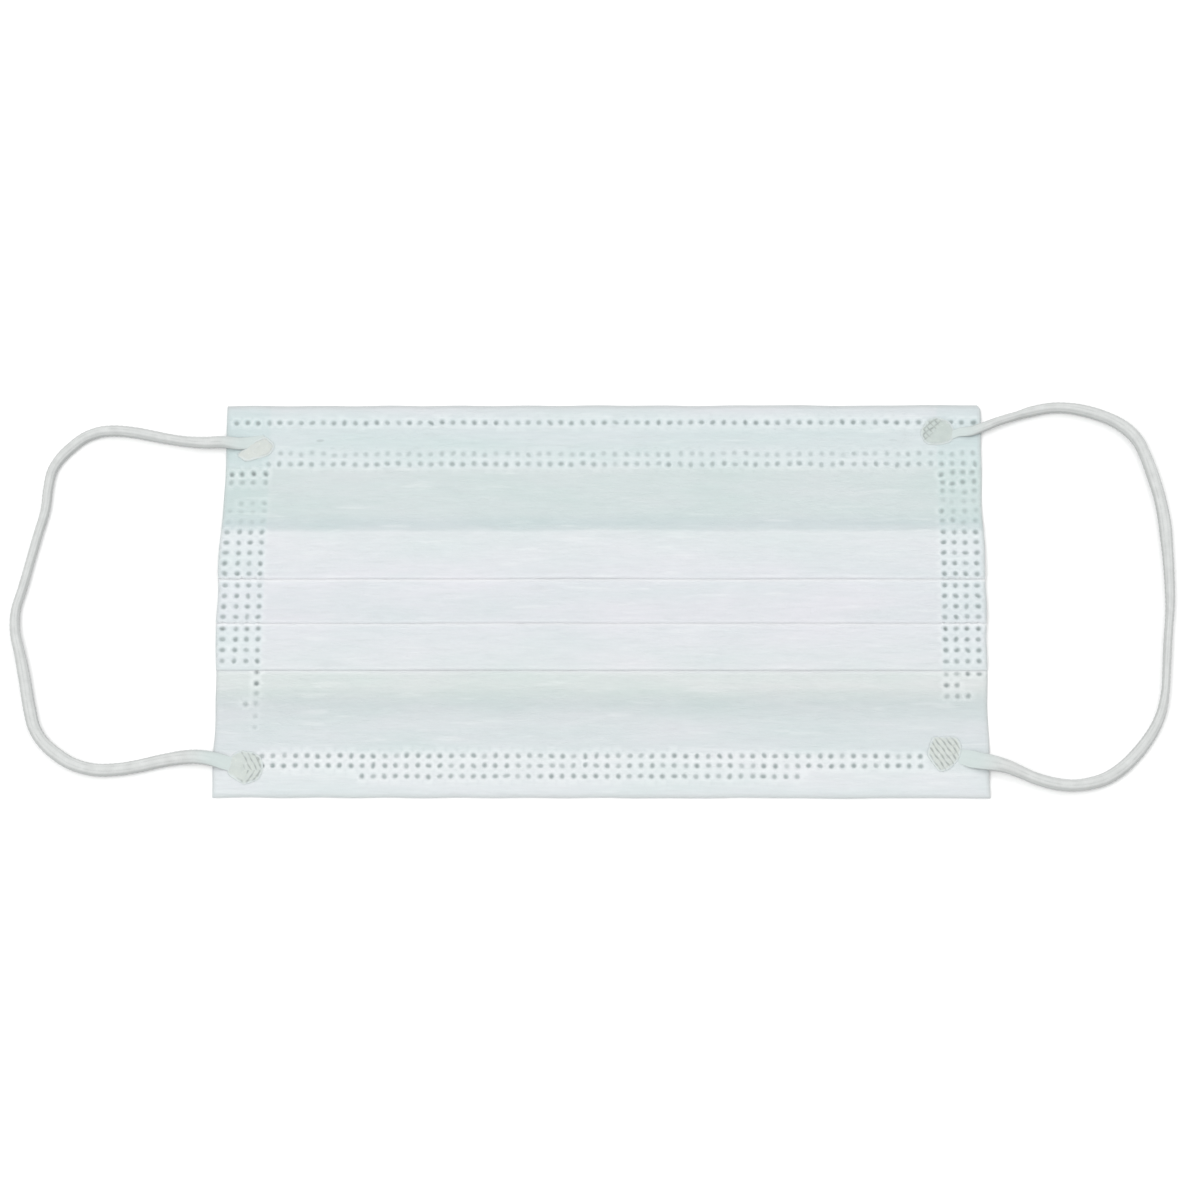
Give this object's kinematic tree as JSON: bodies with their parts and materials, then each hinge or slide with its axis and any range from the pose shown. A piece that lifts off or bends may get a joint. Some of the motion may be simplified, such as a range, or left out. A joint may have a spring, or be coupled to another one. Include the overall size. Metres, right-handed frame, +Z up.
{
  "type": "surgical face mask",
  "caption": "Flat pleated rectangular face mask with welded edges, a nose wire in the top hem and a soft elastic ear loop at each side.",
  "frame": {"origin": "middle of the pleated panel, on the surface that the mask lies on", "axes": "+X along the width, towards the right side as the outer face is seen; +Y towards the nose edge; +Z up, out of the outer face"},
  "size_m": [0.2662, 0.0956, 0.0059],
  "materials": {
    "laminate": "matt spunbond nonwoven, pale mint to white where layers stack, with rows of pressed weld dots",
    "wire_sheath": "smooth white polyethylene over a soft steel wire",
    "weld_pad": "fused and knurled fabric, slightly translucent",
    "elastic": "fine knitted elastic with lengthwise ribs"
  },
  "bodies": {
    "root": {"pleated_panel": "laminate", "nose_wire": "wire_sheath", "weld_pad_top_left": "weld_pad", "weld_pad_bottom_left": "weld_pad", "weld_pad_top_right": "weld_pad", "weld_pad_bottom_right": "weld_pad", "ear_loop_left": "elastic", "ear_loop_right": "elastic"}
  },
  "joints": []
}
